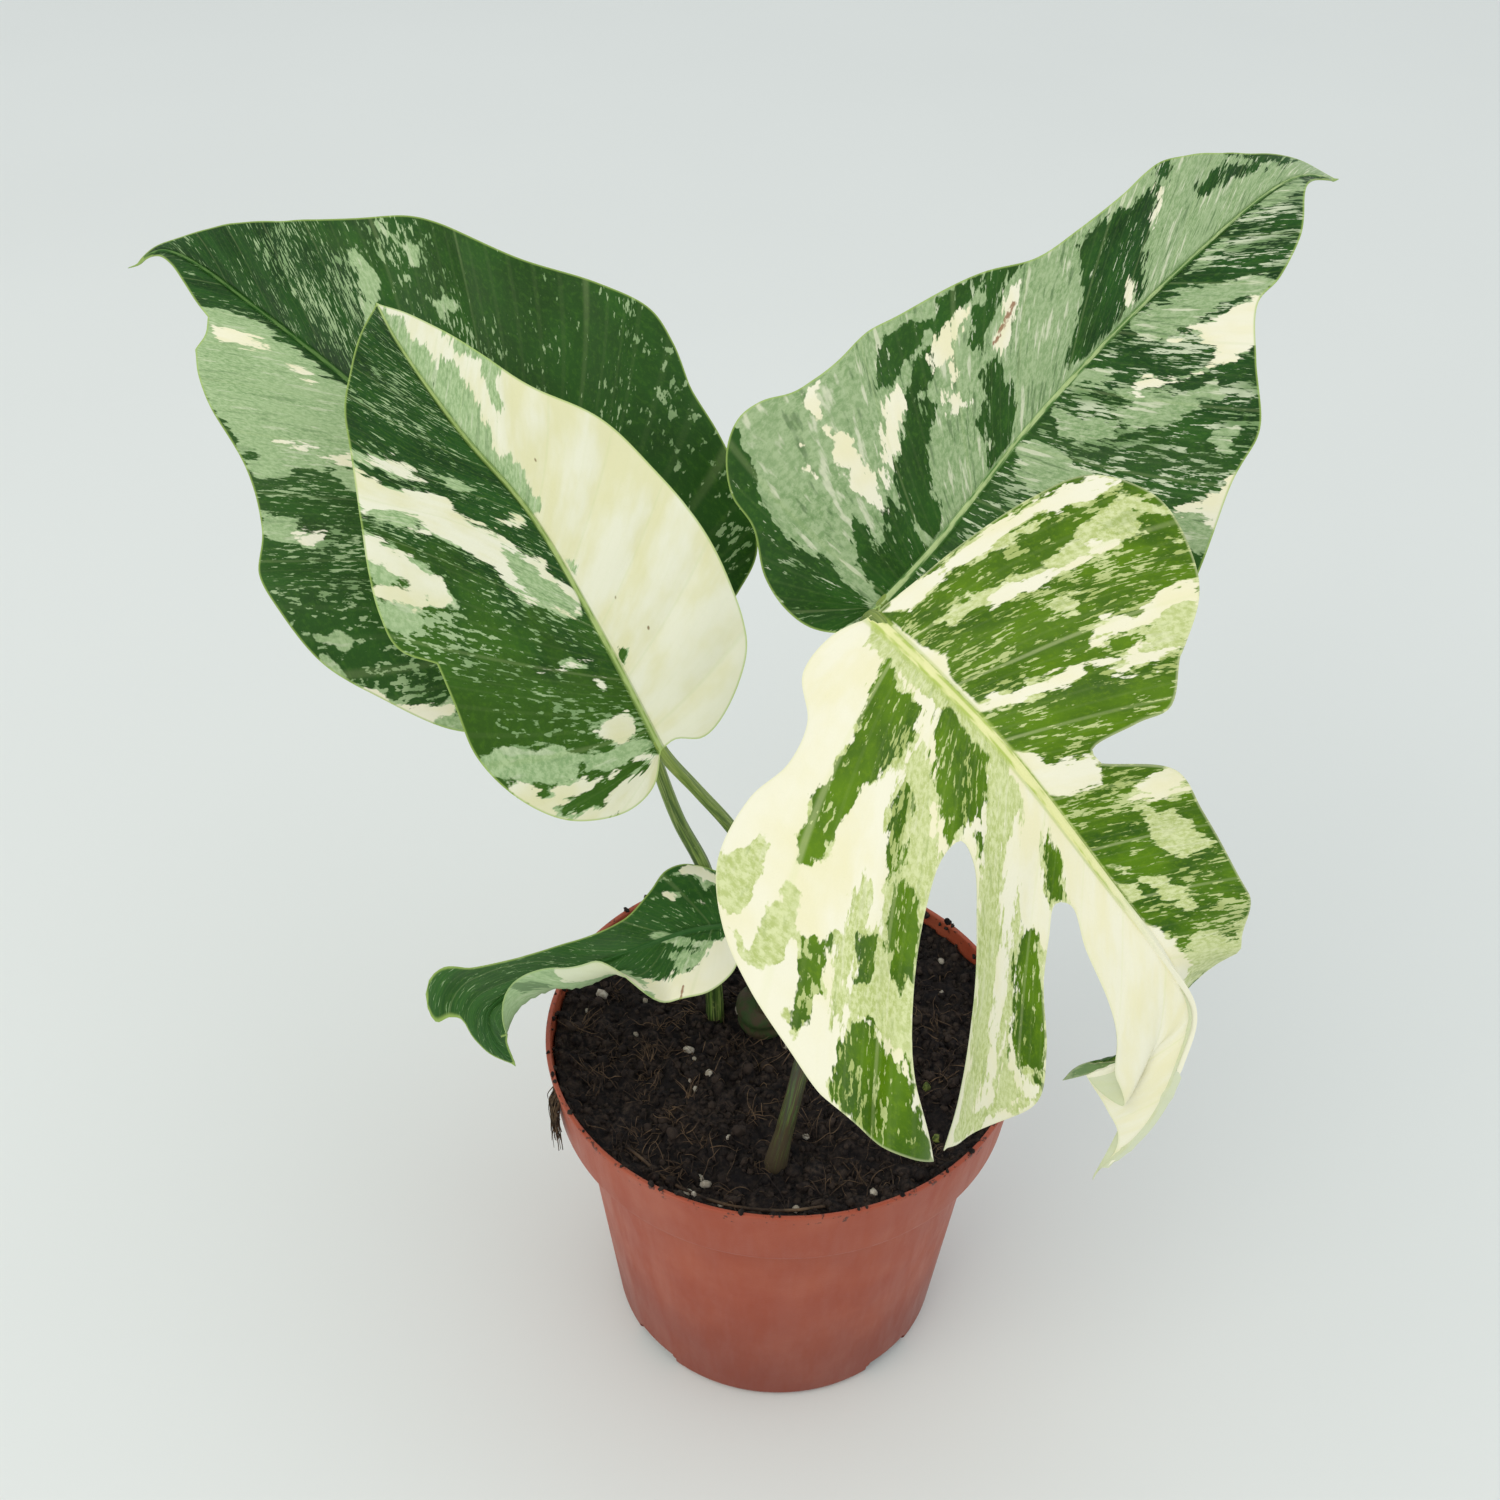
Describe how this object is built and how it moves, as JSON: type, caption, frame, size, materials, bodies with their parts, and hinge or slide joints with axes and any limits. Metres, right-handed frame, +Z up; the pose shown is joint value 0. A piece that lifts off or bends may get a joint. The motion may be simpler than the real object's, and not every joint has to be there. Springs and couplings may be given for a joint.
{
  "type": "potted monstera plant",
  "caption": "Young variegated monstera with green and cream leaves on slender petioles, growing from soil in a round tapered nursery pot.",
  "frame": {"origin": "on the pot's axis, on the surface that the pot stands on", "axes": "+Z up along the pot's axis, -Y towards the side that the leaves face, +X to the right of a viewer on that side"},
  "size_m": [0.2775, 0.1952, 0.2931],
  "materials": {
    "pot_plastic": "thin terracotta-red moulded polypropylene, satin",
    "soil": "moist dark peat with fibres and perlite grains",
    "stem": "green-brown plant stem with a dry skin",
    "petiole": "smooth green plant stalk with pale stripes",
    "leaf": "smooth waxy leaf, marbled dark green, sage and cream"
  },
  "bodies": {
    "root": {"pot": "pot_plastic", "soil": "soil", "stem": "stem", "back_left_petiole": "petiole", "front_left_petiole": "petiole", "upper_right_petiole": "petiole", "split_petiole": "petiole", "small_petiole": "petiole", "back_left_leaf": "leaf", "front_left_leaf": "leaf", "upper_right_leaf": "leaf", "split_leaf": "leaf", "small_leaf": "leaf"}
  },
  "joints": []
}
